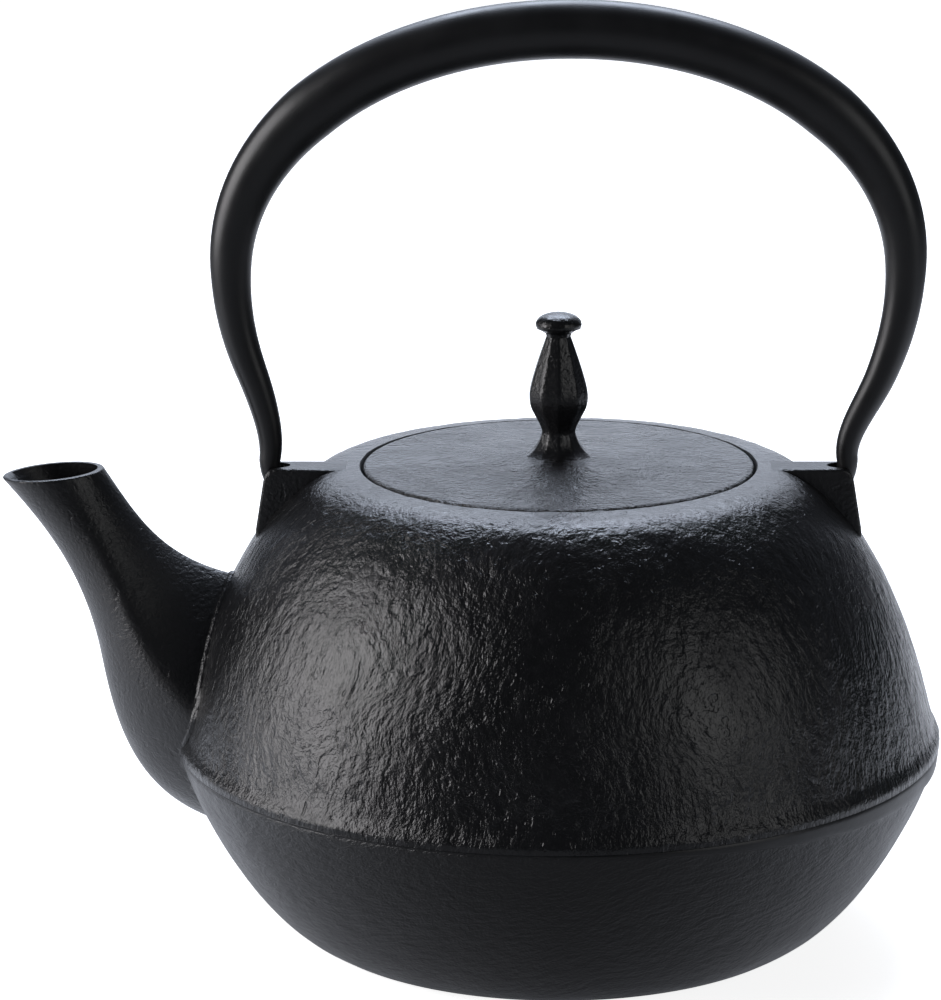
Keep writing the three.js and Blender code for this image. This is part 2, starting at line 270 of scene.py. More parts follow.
def apply_modifiers(obj):
    graph = bpy.context.evaluated_depsgraph_get()
    finished = bpy.data.meshes.new_from_object(obj.evaluated_get(graph))
    obj.modifiers.clear()
    obj.data = finished


def paint(obj, materials, index=0):
    """Gives an object its list of materials and sets every face to one of them."""
    for material in materials:
        obj.data.materials.append(material)
    obj.data.polygons.foreach_set("material_index", [index] * len(obj.data.polygons))
    return obj


# ---- Node materials ----
def node_chain(tree):
    """Returns add(kind, inputs, settings), which adds a node and sets or links its inputs."""
    def add(kind, inputs=(), **settings):
        node = tree.nodes.new(kind)
        for key, value in settings.items():
            setattr(node, key, value)
        for key, value in dict(inputs).items():
            if isinstance(value, bpy.types.NodeSocket):
                tree.links.new(value, node.inputs[key])
            else:
                node.inputs[key].default_value = value
        return node
    return add


def smooth_span(add, value, low, high, out_low, out_high):
    """A smooth step of value from out_low at low to out_high at high."""
    limits = {"Value": value, "From Min": low, "From Max": high}
    limits.update({"To Min": out_low, "To Max": out_high})
    return add("ShaderNodeMapRange", limits, interpolation_type="SMOOTHSTEP").outputs[0]


class Look:
    """A Principled material and short calls that add nodes to it."""

    def __init__(self, name, color, roughness, **inputs):
        self.material = bpy.data.materials.new(name)
        self.material.use_nodes = True
        self.tree = self.material.node_tree
        self.shader = self.tree.nodes["Principled BSDF"]
        self.shader.inputs["Base Color"].default_value = (*color, 1)
        self.shader.inputs["Roughness"].default_value = roughness
        for key, value in inputs.items():
            self.shader.inputs[key.replace("_", " ")].default_value = value
        self.add = node_chain(self.tree)
        self.place = self.add("ShaderNodeTexCoord").outputs["Object"]

    def math(self, operation, a, b=0.0):
        return self.add("ShaderNodeMath", {0: a, 1: b}, operation=operation).outputs[0]

    def vector(self, operation, a, b):
        return self.add("ShaderNodeVectorMath", {0: a, 1: b}, operation=operation).outputs[0]

    def stretched(self, scale, place=None):
        return self.vector("MULTIPLY", place or self.place, scale)

    def noise(self, scale, detail=2.0, rough=0.5, place=None, distortion=0.0):
        inputs = {"Vector": place or self.place, "Scale": scale, "Detail": detail}
        inputs.update({"Roughness": rough, "Distortion": distortion})
        return self.add("ShaderNodeTexNoise", inputs).outputs[0]

    def warped(self, scale, amount):
        """The place, pushed about by a slow noise, amount in metres."""
        inputs = {"Vector": self.place, "Scale": scale, "Detail": 1.0}
        push = self.add("ShaderNodeTexNoise", inputs).outputs["Color"]
        push = self.vector("SUBTRACT", push, (0.5, 0.5, 0.5))
        return self.vector("ADD", self.place, self.vector("MULTIPLY", push, (amount,) * 3))

    def ramp(self, value, low, high, out_low=0.0, out_high=1.0):
        return smooth_span(self.add, value, low, high, out_low, out_high)

    def blend_color(self, factor, a, b):
        node = self.add("ShaderNodeMix", {0: factor}, data_type="RGBA")
        for index, value in ((6, a), (7, b)):
            if isinstance(value, bpy.types.NodeSocket):
                self.tree.links.new(value, node.inputs[index])
            else:
                node.inputs[index].default_value = (*value, 1)
        return node.outputs[2]

    def bump(self, height, distance):
        inputs = {"Height": height, "Distance": distance, "Strength": 1.0}
        return self.add("ShaderNodeBump", inputs).outputs[0]

    def set(self, key, socket):
        self.tree.links.new(socket, self.shader.inputs[key])


BLACK_LOW = (0.004, 0.004, 0.0043)
BLACK_HIGH = (0.011, 0.011, 0.012)


def skin_look():
    """The wrinkled casting skin of the upper half: upright grains with a fine grit on them."""
    look = Look("cast_iron_skin", BLACK_HIGH, 0.4, Specular_IOR_Level=0.5)
    bent = look.warped(45.0, 0.010)
    upright = look.stretched((1.0, 1.0, 0.55), bent)
    wrinkles = look.noise(430.0, 4.0, 0.62, upright)
    # narrow marks between the grains
    marks = look.ramp(look.noise(560.0, 2.0, 0.5, upright), 0.3, 0.42)
    grit = look.noise(1700.0, 2.0, 0.6, bent)
    height = look.math("ADD", look.math("MULTIPLY", marks, 0.16), wrinkles)
    height = look.math("ADD", height, look.math("MULTIPLY", grit, 0.1))
    look.set("Normal", look.bump(height, 0.00058))
    patches = look.noise(38.0, 3.0, 0.6)
    rub = look.ramp(wrinkles, 0.42, 0.7)
    tone = look.math("MULTIPLY", look.math("ADD", patches, rub), 0.5)
    look.set("Base Color", look.blend_color(tone, BLACK_LOW, BLACK_HIGH))
    look.set("Roughness", look.ramp(patches, 0.3, 0.7, 0.21, 0.28))
    return look.material


def bowl_look():
    """The lower half: matt, with the strokes of a brushed coat, and the band dressed smooth."""
    look = Look("cast_iron_bowl", BLACK_HIGH, 0.5, Specular_IOR_Level=0.5)
    slant = look.add("ShaderNodeVectorRotate", {"Vector": look.warped(28.0, 0.012), "Angle": 0.3},
                     rotation_type="Y_AXIS").outputs[0]
    strokes = look.noise(640.0, 3.0, 0.6, look.stretched((0.4, 0.4, 1.0), slant), 0.3)
    sand = look.noise(1500.0, 2.0, 0.6)
    height = look.math("ADD", strokes, look.math("MULTIPLY", sand, 0.35))
    parts = look.add("ShaderNodeSeparateXYZ", {0: look.place}).outputs
    edge = look.ramp(parts[0], BAND_FROM * MM, BAND_TO * MM, RIDGE_EDGE[1] * MM,
                     (RIDGE_EDGE[1] - BAND_DEPTH) * MM)
    above = look.math("SUBTRACT", parts[2], edge)
    band = look.ramp(above, 0.0, 0.35 * MM)
    rough = look.math("MULTIPLY", height, look.ramp(band, 0.0, 1.0, 1.0, 0.12))
    step = look.math("ADD", rough, look.math("MULTIPLY", band, 1.1))
    look.set("Normal", look.bump(step, 0.0005))
    patches = look.noise(38.0, 3.0, 0.6)
    look.set("Base Color", look.blend_color(patches, BLACK_LOW, BLACK_HIGH))
    look.set("Roughness", look.ramp(patches, 0.3, 0.7, 0.34, 0.44))
    return look.material


def fine_iron_look(name, grain_distance, rough_low, rough_high):
    """Dressed iron with a fine, leathery grain."""
    look = Look(name, BLACK_HIGH, 0.4, Specular_IOR_Level=0.5)
    grain = look.noise(900.0, 3.0, 0.6, look.warped(60.0, 0.006))
    pits = look.ramp(look.noise(330.0, 2.0, 0.6), 0.28, 0.4)
    height = look.math("ADD", grain, look.math("MULTIPLY", pits, 0.4))
    look.set("Normal", look.bump(height, grain_distance))
    patches = look.noise(45.0, 3.0, 0.6)
    look.set("Base Color", look.blend_color(patches, BLACK_LOW, BLACK_HIGH))
    look.set("Roughness", look.ramp(patches, 0.3, 0.7, rough_low, rough_high))
    return look.material


def inside_look():
    """The rough black glaze inside the pot."""
    look = Look("inside_glaze", BLACK_LOW, 0.55)
    speckle = look.noise(700.0, 3.0, 0.65)
    look.set("Normal", look.bump(speckle, 0.0002))
    look.set("Base Color", look.blend_color(look.ramp(speckle, 0.35, 0.65), BLACK_LOW, BLACK_HIGH))
    look.set("Roughness", look.ramp(speckle, 0.3, 0.7, 0.45, 0.62))
    return look.material


def lid_look():
    """Fine-grained iron with faint swirls left by the sleeking of the mould."""
    look = Look("lid_iron_grain", BLACK_HIGH, 0.4, Specular_IOR_Level=0.5)
    grain = look.noise(750.0, 3.0, 0.62, look.warped(70.0, 0.007))
    swirl = look.noise(170.0, 2.0, 0.5, look.warped(25.0, 0.02), 0.8)
    height = look.math("ADD", grain, look.math("MULTIPLY", swirl, 0.8))
    look.set("Normal", look.bump(height, 0.0013))
    patches = look.noise(50.0, 3.0, 0.6)
    look.set("Base Color", look.blend_color(patches, BLACK_LOW, BLACK_HIGH))
    look.set("Roughness", look.ramp(patches, 0.3, 0.7, 0.2, 0.3))
    return look.material


def satin_look():
    """The bail's smooth satin lacquer, with faint draw marks."""
    look = Look("bail_satin", BLACK_HIGH, 0.36, Specular_IOR_Level=0.5)
    fine = look.noise(1400.0, 2.0, 0.5)
    slow = look.noise(90.0, 2.0, 0.5)
    height = look.math("ADD", look.math("MULTIPLY", fine, 0.1), look.math("MULTIPLY", slow, 0.9))
    look.set("Normal", look.bump(height, 0.00012))
    look.set("Base Color", look.blend_color(slow, BLACK_LOW, BLACK_HIGH))
    look.set("Roughness", look.ramp(slow, 0.3, 0.7, 0.33, 0.41))
    return look.material


def steel_look(name, roughness):
    """Brushed stainless sheet."""
    look = Look(name, (0.62, 0.63, 0.64), roughness, Metallic=1.0)
    lines = look.noise(260.0, 3.0, 0.6, look.stretched((1.0, 1.0, 14.0)))
    look.set("Normal", look.bump(lines, 0.00002))
    look.set("Roughness", look.ramp(lines, 0.3, 0.7, roughness - 0.06, roughness + 0.08))
    warm = look.noise(40.0)
    look.set("Base Color", look.blend_color(warm, (0.55, 0.56, 0.57), (0.66, 0.67, 0.68)))
    return look.material


# ---- The pot's casting ----
def casting_relief(spot, outward):
    """Hand-rammed unevenness, the wrinkled skin, the groove under its lip and the band."""
    if spot.z < 1:
        return 0.0
    above = spot.z - LIP_Z
    slow = noise.noise(spot / 26)
    if abs(spot.z - GROOVE_Z) < 0.05:
        return -GROOVE_DEPTH
    if above < -0.1:
        joint = ease((spot.z - RIDGE_EDGE[1] + 0.8) / 0.6)
        uneven = 0.04 * noise.noise(spot / 7) + 0.08 * slow - 0.12
        share = ease((spot.x - BAND_FROM) / (BAND_TO - BAND_FROM))
        depth = RIDGE_EDGE[1] - spot.z
        band = ease((BAND_DEPTH * share - depth) / 0.5) if share > 0.02 else 0.0
        return mix(uneven, -BAND_RECESS, joint) + band * share * 0.2 * depth
    upright = Vector((spot.x, spot.y, spot.z * 0.5))
    bend = noise.noise(spot / 9) * 2.2
    wrinkle = noise.noise((upright + Vector((bend, -bend, bend))) / 2.3)
    coarse = noise.noise((upright + Vector((bend, bend, -bend))) / 4.6)
    grown = ease(above / 1.5)
    return mix(-0.04, -0.2 + 0.07 * wrinkle + 0.09 * coarse + 0.12 * slow, grown)


def casting_outline():
    shell = [(0.0, 0.0), (BASE_R * 0.5, 0.0)]
    shell += cubic((BASE_R, 0.0), (70.6, 0.0), (87.4, 28.0), RIDGE_EDGE, 64)
    lip = (mix(RIDGE_EDGE[0], HIP[0], 0.4), LIP_Z)
    shell += [RIDGE_EDGE, (lip[0], GROOVE_Z), lip]
    shell += straight((lip[0], lip[1] + 0.3), HIP, 2)
    flare = (WALL_FOOT[0] + 1.05, WALL_FOOT[1] - 3.6)
    shell += cubic(HIP, (HIP[0], HIP[1] + 1.2), (flare[0] + 0.5, flare[1] - 1.6), flare, 8)
    shell += straight(flare, WALL_FOOT, 4)
    wall = cubic(WALL_FOOT, (84.4, 77.6), (74.3, 101.6), SHOULDER, 82)
    seat = straight(SHOULDER, (WELL_R + 0.6, TOP_Z - 0.1), 9)
    # the shoulder is rounded over between the wall and the seat
    shell += wall[:-6]
    shell += cubic(wall[-6], wall[-2], mix_points(SHOULDER, seat[3], 0.35), seat[5], 9)
    shell += seat[5:]
    shell += [(WELL_R + 0.6, TOP_Z - 0.1), (0.0, TOP_Z - 0.1)]
    return shell


def cavity_outline():
    lip = LEDGE_Z - LEDGE_THICK
    inner = [(0.0, WALL)]
    inner += cubic((BASE_R - 4, WALL), (70.0, WALL), (83.4, 28.0), (HIP[0] - WALL, HIP[1]), 16)
    inner += straight((HIP[0] - WALL, HIP[1]), (WALL_FOOT[0] - WALL, WALL_FOOT[1]), 2)
    inner += cubic((WALL_FOOT[0] - WALL, WALL_FOOT[1]), (80.7, 77.0), (71.5, 99.0),
                   (55.0, LEDGE_Z - 0.6), 16)
    inner += [(55.0, LEDGE_Z - 0.6), (MOUTH_R + 3, lip), (MOUTH_R + 0.5, lip)]
    inner += [(MOUTH_R, lip + 0.5), (MOUTH_R, LEDGE_Z - 0.4), (MOUTH_R + 0.4, LEDGE_Z)]
    inner += [(WELL_R - 0.4, LEDGE_Z), (WELL_R, LEDGE_Z + 0.4), (WELL_R, TOP_Z - 0.75)]
    inner += [(WELL_R + 0.25, TOP_Z - 0.4), (WELL_R + 1.0, TOP_Z + 0.6), (0.0, TOP_Z + 0.6)]
    return inner


class Path:
    """A plane curve of cubics, read by the share of its length."""

    def __init__(self, *pieces):
        self.points = []
        for piece in pieces:
            self.points += cubic(*piece, 60)
        self.points.append(pieces[-1][3])
        flat = np.array(self.points)
        steps = np.hypot(*np.diff(flat, axis=0).T)
        self.shares = np.concatenate([[0], np.cumsum(steps)]) / steps.sum()
        self.flat = flat

    def at(self, share):
        x = np.interp(share, self.shares, self.flat[:, 0])
        return Vector((x, np.interp(share, self.shares, self.flat[:, 1])))


KEEL = Path(((-82, 24), (-103, 30.5), (-107.6, 48), (-110.6, 66)),
            ((-110.6, 66), (-113.9, 86), (-122.4, 97.8), SPOUT_TIP))
BACK = Path(((-70, 78), (-73, 82), (-76, 84.8), (-80, 86.6)),
            ((-80, 86.6), (-96.5, 91.2), (-101.5, 101), SPOUT_BACK))


def spout_point(t, angle, inset):
    """A point of the spout's skin: t runs up the spout, the angle round it from the keel."""
    keel, back = KEEL.at(t), BACK.at(t)
    chord = back - keel
    middle = (keel + back) / 2
    half_chord = chord.length / 2 - inset
    chord.normalize()
    half_width = mix(SPOUT_ROOT_HALF, SPOUT_LIP_HALF, ease(t ** 0.8)) - inset
    along = -math.cos(angle)
    # a soft arris runs down the side: rounded towards the keel, nearly flat towards the shell
    lens, roundness = (1.08, 0.78) if along > 0 else (1.45, 0.55)
    fade = t ** 2.4
    lens, roundness = mix(lens, 2.0, fade), mix(roundness, 0.5, fade)
    across = max(0.0, 1 - abs(along) ** lens) ** roundness
    side = -math.copysign(across * half_width, math.sin(angle))
    spot = middle + chord * (along * half_chord)
    return Vector((spot.x, side, spot.y))


def spout_ring(t, inset):
    return [spout_point(t, 2 * math.pi * k / SPOUT_SIDES, inset) for k in range(SPOUT_SIDES)]


def spout_skin():
    rings = [spout_ring(i / SPOUT_STEPS, 0.0) for i in range(SPOUT_STEPS)]
    # the thin lip is rounded over its last half millimetre
    for inset, t in ((0.0, 0.994), (0.08, 0.998), (0.3, 0.9999)):
        rings.append(spout_ring(t, inset))
    return lofted("spout_skin", rings, 60)


def spout_bore():
    rings = []
    for i in range(BORE_STEPS + 1):
        t = i / BORE_STEPS
        rings.append(spout_ring(t, mix(SPOUT_WALL_ROOT, SPOUT_WALL_LIP, ease(t))))
    rings.append([p + Vector((-1.35, 0, 2.7)) for p in rings[-1]])
    return lofted("spout_bore", rings, 60)


def spout_crease():
    """The closed line just under the crease where the spout's skin enters the shell."""
    wall = [p for p in casting_outline() if p[0] > BASE_R * 0.9]
    heights = [p[1] for p in wall]
    radii = [p[0] for p in wall]
    line = []
    for k in range(SPOUT_SIDES):
        angle = 2 * math.pi * k / SPOUT_SIDES
        low, high = 0.0, 0.75
        for _ in range(24):
            t = (low + high) / 2
            spot = spout_point(t, angle, 0.0)
            inside = math.hypot(spot.x, spot.y) < np.interp(spot.z, heights, radii)
            low, high = (t, high) if inside else (low, t)
        spot = spout_point(low, angle, BEAD_SUNK)
        inward = Vector((-spot.x, -spot.y, 0)).normalized()
        line.append(spot + inward * BEAD_SUNK)
    return line


def crease_radius(point):
    """The fillet of the crease dies away below the lip."""
    return mix(BEAD_LOW_R, BEAD_R, ease((point.z - LIP_Z) / 5))


def tube(name, line, radius, sides, wrap):
    """A round skin along a line; radius(point) gives its half-thickness there."""
    rings = []
    for i, point in enumerate(line):
        after = line[(i + 1) % len(line)] if wrap or i + 1 < len(line) else point
        before = line[i - 1] if wrap or i else point
        forward = (after - before).normalized()
        across = forward.cross(Vector((0, 0.31, 0.95))).normalized()
        over = across.cross(forward)
        ring = []
        for k in range(sides):
            turn = 2 * math.pi * k / sides
            reach = radius(point)
            ring.append(point + (across * math.cos(turn) + over * math.sin(turn)) * reach)
        rings.append(ring)
    return lofted(name, rings, 60, wrap)


def lug_block(turn):
    """One lug, drawn in the XZ plane on the +X side, with rounded edges, turned about Z."""
    top, side, low = LUG_TOP, LUG_CORNER_X, LUG_TOP - LUG_HEIGHT
    corner = (side - LUG_CORNER_R, top)
    outline = [(LUG_ROOT_X + 4, top - 9), (side + LUG_SPLAY, low - 6), (side + LUG_SPLAY, low)]
    outline += cubic((side, top - LUG_CORNER_R), (side - 0.3, top - 1.4),
                     (side - 1.2, top), corner, 8)
    outline += [corner, (LUG_ROOT_X, top)]
    half = LUG_DEPTH / 2
    points = [(x, y, z) for y in (-half, half) for x, z in outline]
    count = len(outline)
    faces = [tuple(range(count)), tuple(reversed(range(count, 2 * count)))]
    for k in range(count):
        n = (k + 1) % count
        faces.append((k, k + count, n + count, n))
    obj = mesh_object("lug", points, faces)
    bevel = obj.modifiers.new("edges", "BEVEL")
    bevel.width = LUG_EDGE * MM
    bevel.segments = 3
    bevel.limit_method = "ANGLE"
    bevel.angle_limit = math.radians(50)
    apply_modifiers(obj)
    if turn:
        obj.data.transform(Matrix.Rotation(turn, 4, "Z"))
    return obj


def socket_cutter(turn):
    rings = []
    for z, x, half_length in SOCKET_LEVELS:
        ring = []
        for k in range(40):
            angle = 2 * math.pi * k / 40
            across = math.sin(angle) * SOCKET_WIDTH / 2
            ring.append(Vector((x + math.cos(angle) * half_length, across, z)))
        rings.append(ring)
    obj = lofted("socket", rings)
    if turn:
        obj.data.transform(Matrix.Rotation(turn, 4, "Z"))
    return obj


def pot_casting():
    """The one casting: each part brings its own finish into the joined mesh."""
    finishes = [skin_look(), bowl_look(),
                fine_iron_look("cast_iron_dressed", 0.00022, 0.32, 0.42), inside_look()]
    skin, bowl, dressed, glaze = range(4)
    pot = turned("pot_casting", casting_outline(), POT_SEGMENTS, casting_relief)
    paint(pot, finishes, skin)
    for face in pot.data.polygons:
        if face.center.z < (LIP_Z - 0.02) * MM:
            face.material_index = bowl
    combine(pot, paint(spout_skin(), finishes, dressed), "UNION")
    bead = tube("crease", spout_crease(), crease_radius, 10, True)
    combine(pot, paint(bead, finishes, skin), "UNION")
    for turn in (0, math.pi):
        combine(pot, paint(lug_block(turn), finishes, dressed), "UNION")
    cavity = turned("cavity", cavity_outline(), CAVITY_SEGMENTS)
    combine(pot, paint(cavity, finishes, glaze), "DIFFERENCE")
    combine(pot, paint(spout_bore(), finishes, dressed), "DIFFERENCE")
    for turn in (0, math.pi):
        combine(pot, paint(socket_cutter(turn), finishes, dressed), "DIFFERENCE")
    shade(pot, 55)
    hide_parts(*POT_NODES)
    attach(pot, "pot")


# ---- The bail ----
def bail_stations():
    """[x, z, thickness] down one side, from the apex to the foot."""
    stations = []
    crown_steps, leg_steps, foot_steps = BAIL_STEPS
    for i in range(crown_steps):
        share = i / crown_steps
        across = BAIL_HALF * math.sin(math.pi / 2 * share) ** (2 / BAIL_SQUARENESS)
        rise = BAIL_RISE * math.cos(math.pi / 2 * share) ** (2 / BAIL_SQUARENESS)
        taper = max(0.0, (share - BAIL_GRIP_SHARE) / (1 - BAIL_GRIP_SHARE))
        thick = mix(BAIL_CROWN_THICK, BAIL_SPRING_THICK, taper)
        stations.append((across, BAIL_SPRING_Z + rise, thick))
    leg = cubic((BAIL_HALF, BAIL_SPRING_Z), (BAIL_HALF, 136.4), (BAIL_LEG[0] - 1.8, 125.6),
                BAIL_LEG, leg_steps)
    for i, (x, z) in enumerate(leg):
        taper = (i / leg_steps) ** BAIL_LEG_TAPER
        stations.append((x, z, mix(BAIL_SPRING_THICK, BAIL_LEG_THICK, taper)))
    foot = cubic(BAIL_LEG, (69.2, 110.5), (67.8, 108.2), BAIL_FOOT, foot_steps)
    for i, (x, z) in enumerate([*foot, BAIL_FOOT]):
        stations.append((x, z, mix(BAIL_LEG_THICK, BAIL_FOOT_THICK, i / foot_steps)))
    return stations


def bail_handle():
    side = bail_stations()
    left = [(-x, z, thick) for x, z, thick in reversed(side)]
    stations = [*left, *side[1:]]
    centre = []
    for x, z, _ in stations:
        shift = BAIL_SET * ease((z - BAIL_LEG[1]) / BAIL_SET_RISE)
        lean = BAIL_LEAN * max(0.0, z - BAIL_LEG[1] - BAIL_SET_RISE)
        centre.append(Vector((x + shift + lean, 0, z)))
    rings = []
    for i, point in enumerate(centre):
        before, after = centre[max(0, i - 1)], centre[min(len(centre) - 1, i + 1)]
        forward = (after - before).normalized()
        outward = Vector((-forward.z, 0, forward.x))
        half = stations[i][2] / 2
        ring = []
        for k in range(BAIL_SIDES):
            turn = 2 * math.pi * k / BAIL_SIDES
            spot = point + outward * (half * math.cos(turn))
            spot.y = -half * BAIL_DEPTH_RATIO * math.sin(turn)
            ring.append(spot)
        rings.append(ring)
    bail = paint(lofted("bail", rings, 60), [satin_look()])
    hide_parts("bail_handle")
    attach(bail, "bail")


# ---- The lid, its knob and the washer below ----
def lid_relief(spot, outward):
    if outward.z < 0.5 or spot.z < TOP_Z - 1:
        return 0.0
    slow = noise.noise(spot / 14)
    coarse = noise.noise(spot / 3.4)
    return 0.05 * slow + 0.035 * coarse - 0.09


def lid_plate():
    under = TOP_Z - LID_EDGE_THICK
    hole = TANG_R + 0.3
    outline = [(hole, under + 1.8), (12.0, under + 1.8), (SKIRT_R - SKIRT_THICK, under + 0.8)]
    outline += [(SKIRT_R - SKIRT_THICK, under - SKIRT_DEPTH + 0.4)]
    outline += [(SKIRT_R - SKIRT_THICK + 0.4, under - SKIRT_DEPTH)]
    outline += [(SKIRT_R - 0.4, under - SKIRT_DEPTH), (SKIRT_R, under - SKIRT_DEPTH + 0.4)]
    outline += [(SKIRT_R, under), (LID_R - 0.3, under), (LID_R, under + 0.3)]
    outline += [(LID_R, TOP_Z - 0.7), (LID_R - 0.15, TOP_Z - 0.3), (LID_R - 0.6, TOP_Z)]
    mound = [(LID_R - 0.6, TOP_Z), (MOUND_R + 8, TOP_Z + 0.4), (MOUND_R, TOP_Z + 0.7),
             (MOUND_R - 6, TOP_Z + 1.3), (12.0, LID_CROWN_Z - 0.2), (8.0, LID_CROWN_Z)]
    for a, b in zip(mound, mound[1:]):
        outline += straight(a, b, max(1, round((a[0] - b[0]) / 0.9)))[1:] + [b]
    outline += [(hole, LID_CROWN_Z), outline[0]]
    lid = paint(turned("lid_plate", outline, 288, lid_relief), [lid_look()])
    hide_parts("lid")
    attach(lid, "lid")


def knob():
    foot = LID_CROWN_Z - 0.05
    outline = [(0.0, foot), (8.0, foot), (7.6, foot + 0.25)]
    outline += cubic((7.6, foot + 0.25), (5.9, foot + 1.2), (4.7, foot + 3.0), (4.15, foot + 5.4), 6)
    outline += cubic((4.15, foot + 5.4), (4.1, foot + 7.0), (5.6, foot + 8.9), (6.7, foot + 11.2), 7)
    outline += cubic((6.7, foot + 11.2), (7.4, foot + 12.8), (7.5, foot + 14.4),
                     (7.1, foot + 16.2), 7)
    outline += cubic((7.1, foot + 16.2), (6.5, foot + 19.2), (4.3, foot + 25.4), KNOB_NECK, 8)
    outline += [KNOB_NECK, (3.25, 145.4), (4.3, 146.1), (5.4, 146.6)]
    outline += cubic((5.4, 146.6), (5.9, 147.3), (5.7, 148.3), (4.7, 149.1), 5)
    outline += cubic((4.7, 149.1), (3.6, 149.9), (1.8, 150.3), (0.0, KNOB_TOP_Z), 6)
    outline += [(0.0, KNOB_TOP_Z)]
    count = KNOB_FACETS * 8
    apothem = math.cos(math.pi / KNOB_FACETS)
    points, rings = [], []
    for r, z in outline:
        if r < 1e-6:
            rings.append([len(points)])
            points.append((0.0, 0.0, z))
            continue
        rings.append(range(len(points), len(points) + count))
        # the cap is nearly round, the waist below it has flat facets with softened edges
        roundness = ease((z - 145.2) / 1.6) * 0.75
        for k in range(count):
            turn = 2 * math.pi * k / count
            off = (turn + math.pi / KNOB_FACETS) % (2 * math.pi / KNOB_FACETS)
            facet = apothem / math.cos(off - math.pi / KNOB_FACETS)
            facet = min(facet, 0.991)
            reach = r * mix(facet, 0.985, roundness)
            place = Vector((math.sin(turn), math.cos(turn), z / 3))
            dent = noise.noise(place * mix(1.0, 3.5, roundness))
            reach *= 1 + mix(0.006, 0.035, roundness) * dent
            angle = turn + math.radians(KNOB_TURN)
            points.append((reach * math.sin(angle), -reach * math.cos(angle), z))
    faces = []
    for low, high in zip(rings, rings[1:]):
        bridge(faces, low, high)
    obj = mesh_object("knob", points, faces, 24)
    finish = [fine_iron_look("knob_iron_grain", 0.00022, 0.18, 0.28)]
    end = TANG_END_Z
    rivet = [(0.0, end), (2.2, end + 0.1), (3.0, end + 0.45), (3.3, end + 0.8), (3.3, end + 1.1)]
    rivet += [(TANG_R, end + 1.1), (TANG_R, foot + 1), (0.0, foot + 1)]
    combine(paint(obj, finish), paint(turned("tang", rivet, 48), finish), "UNION")
    shade(obj, 30)
    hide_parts("lid_knob")
    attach(obj, "lid")


def washer(steel):
    hole = TANG_R + 0.3
    outline = [(hole, WASHER_LOW), (WASHER_R - 0.2, WASHER_LOW), (WASHER_R, WASHER_LOW + 0.2)]
    outline += [(WASHER_R, WASHER_HIGH - 0.2), (WASHER_R - 0.2, WASHER_HIGH)]
    outline += [(hole, WASHER_HIGH), (hole, WASHER_LOW)]
    obj = paint(turned("washer", outline, 64), [steel])
    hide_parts("knob_washer")
    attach(obj, "lid")


# ---- The infuser basket ----
def basket_rim(steel):
    """The flange that lies on the ledge, rolled into the collar that holds the weave."""
    outer, low, high = COLLAR_R + SHEET, FLANGE_LOW, FLANGE_LOW + SHEET
    foot = low - COLLAR_DEPTH
    outline = [(COLLAR_R, foot), (outer, foot), (outer, low - 0.3), (outer + 0.3, low)]
    outline += [(FLANGE_R - 0.2, low), (FLANGE_R, low + 0.25), (FLANGE_R, high - 0.25)]
    outline += [(FLANGE_R - 0.2, high), (COLLAR_R + 0.8, high), (COLLAR_R + 0.25, high - 0.2)]
    outline += [(COLLAR_R, high - 0.7), (COLLAR_R, foot)]
    obj = paint(turned("basket_rim", outline, 240), [steel])
    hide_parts("strainer_rim")
    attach(obj, "strainer")


def basket_floor(steel):
    """A shallow pressed cup with a raised middle."""
    outer, low = COLLAR_R + SHEET, BASKET_FLOOR_Z
    outline = [(0.0, low), (outer - 1.2, low), (outer - 0.35, low + 0.35), (outer, low + 1.2)]
    outline += [(outer, low + CUP_DEPTH), (COLLAR_R, low + CUP_DEPTH)]
    outline += [(COLLAR_R, low + SHEET + 0.6), (COLLAR_R - 0.5, low + SHEET)]
    outline += [(30.0, low + SHEET), (27.5, low + SHEET + 0.5), (0.0, low + SHEET + 0.5)]
    obj = paint(turned("basket_floor", outline, 240), [steel])
    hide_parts("strainer_floor")
    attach(obj, "strainer")


def basket_weave(wire):
    """Plain weave of round wire: uprights pass in front of and behind the hoops in turn."""
    middle = BASKET_R - 2 * WIRE_R
    points, faces = [], []

    def square_tube(line, wrap):
        first = len(points)
        for spot, outward, across in line:
            for a, b in ((1, 0), (0, 1), (-1, 0), (0, -1)):
                points.append(tuple(spot + (outward * a + across * b) * WIRE_R))
        count = len(line)
        for i in range(count if wrap else count - 1):
            low, high = first + 4 * i, first + 4 * ((i + 1) % count)
            for k in range(4):
                n = (k + 1) % 4
                faces.append((low + k, low + n, high + n, high + k))
        if not wrap:
            faces.append((first + 3, first + 2, first + 1, first))
            faces.append(tuple(first + 4 * (count - 1) + k for k in range(4)))

    up = Vector((0, 0, 1))
    for k in range(UPRIGHTS):
        turn = 2 * math.pi * k / UPRIGHTS
        outward = Vector((math.cos(turn), math.sin(turn), 0))
        across = Vector((-outward.y, outward.x, 0))
        line = []
        for i in range(HOOPS + 2):
            z = mix(WEAVE_LOW, WEAVE_HIGH, i / (HOOPS + 1))
            side = WIRE_R * (1 if (i + k) % 2 else -1)
            line.append((outward * (middle + side) + up * z, outward, across))
        square_tube(line, False)
    for i in range(1, HOOPS + 1):
        z = mix(WEAVE_LOW, WEAVE_HIGH, i / (HOOPS + 1))
        line = []
        for k in range(UPRIGHTS):
            turn = 2 * math.pi * k / UPRIGHTS
            outward = Vector((math.cos(turn), math.sin(turn), 0))
            side = -WIRE_R * (1 if (i + k) % 2 else -1)
            line.append((outward * (middle + side) + up * z, outward, -up))
        square_tube(line, True)
    obj = paint(mesh_object("basket_weave", points, faces, 80), [wire])
    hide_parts("strainer_mesh")
    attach(obj, "strainer")


